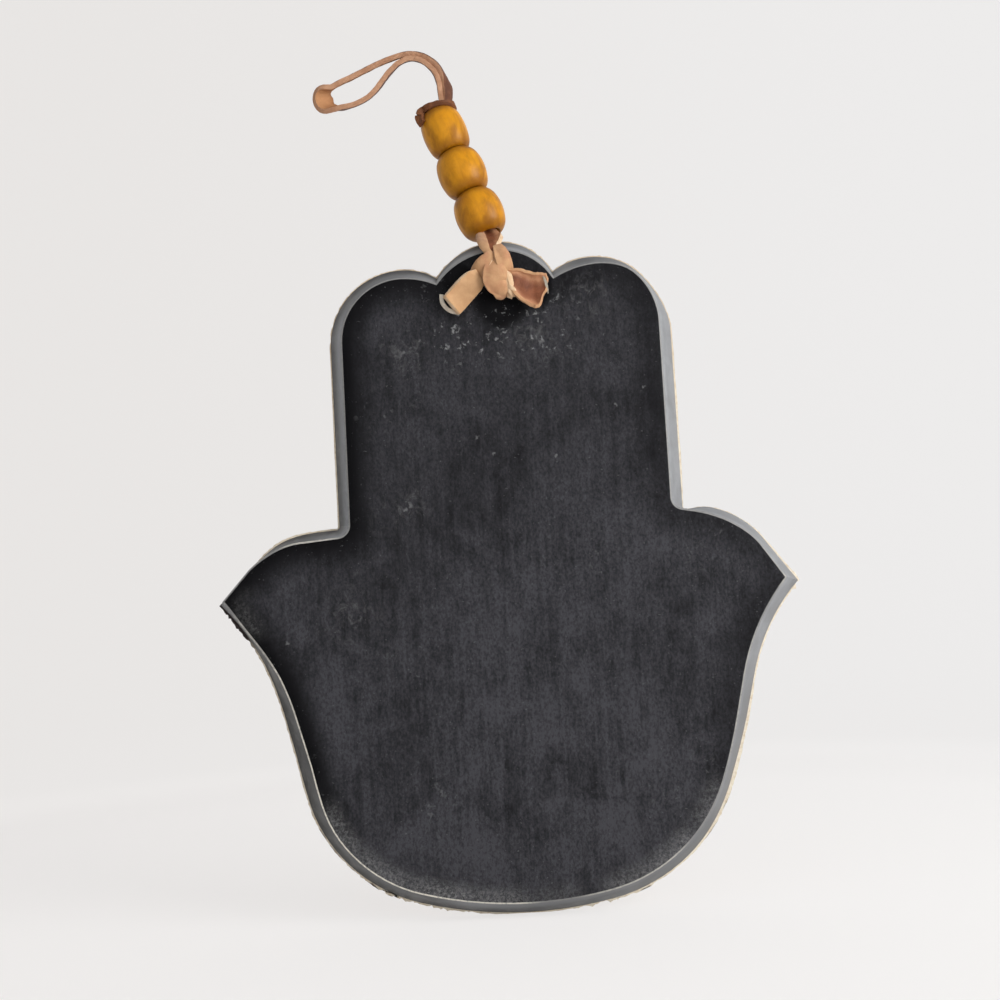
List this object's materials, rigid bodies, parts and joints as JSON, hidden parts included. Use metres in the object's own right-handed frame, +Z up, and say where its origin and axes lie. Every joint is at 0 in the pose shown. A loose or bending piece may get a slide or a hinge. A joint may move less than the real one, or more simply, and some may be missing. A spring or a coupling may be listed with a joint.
{
  "type": "hamsa hand ornament",
  "caption": "Flat hand-shaped hanging plaque with a bevelled black back, tied to a leather lace that runs up through wooden beads to a folded hanging loop.",
  "frame": {"origin": "middle of the plaque's bare front face", "axes": "+Z up the hand to the middle finger, +Y out of the front face, +X to the right as the black back is seen"},
  "size_m": [0.1291, 0.023, 0.1992],
  "materials": {
    "black_paint": "matt black paint over wood, dusty and scuffed",
    "front_wood": "thin bare wood facing",
    "leather": "flat undyed lace, pale flesh side and brown grain side",
    "bead_wood": "satin varnish on honey wood"
  },
  "bodies": {
    "plaque": {"board": "black_paint", "front_facing": "front_wood", "near_strand": "leather", "far_strand": "leather", "tie_knot": "leather", "left_tail": "leather", "right_tail": "leather"},
    "neck": {"lace_neck": "leather"},
    "chain": {"bead_lace": "leather", "stop_knot": "leather"},
    "lower_bead": {"lower_bead": "bead_wood"},
    "middle_bead": {"middle_bead": "bead_wood"},
    "upper_bead": {"upper_bead": "bead_wood"},
    "loop": {"hanging_loop": "leather"}
  },
  "joints": [
    {"name": "hanger_swing", "type": "hinge", "parent": "plaque", "child": "neck", "pos_m": [-0.0008, 0.0024, 0.0773], "axis": [0, 1, 0], "range_deg": [-5, 38]},
    {"name": "hanger_tip", "type": "hinge", "parent": "neck", "child": "chain", "pos_m": [-0.0008, 0.0024, 0.0773], "axis": [0.9455, 0, 0.3256], "range_deg": [-42, 3]},
    {"name": "lower_bead_spin", "type": "hinge", "parent": "chain", "child": "lower_bead", "pos_m": [-0.0008, 0.0024, 0.0773], "axis": [-0.3224, 0.1392, 0.9363], "continuous": true},
    {"name": "middle_bead_spin", "type": "hinge", "parent": "chain", "child": "middle_bead", "pos_m": [-0.0008, 0.0024, 0.0773], "axis": [-0.3224, 0.1392, 0.9363], "continuous": true},
    {"name": "upper_bead_spin", "type": "hinge", "parent": "chain", "child": "upper_bead", "pos_m": [-0.0008, 0.0024, 0.0773], "axis": [-0.3224, 0.1392, 0.9363], "continuous": true},
    {"name": "loop_flop", "type": "hinge", "parent": "chain", "child": "loop", "pos_m": [-0.00929, 0.00745, 0.11239], "axis": [0, 1, 0], "range_deg": [-45, 40]}
  ]
}
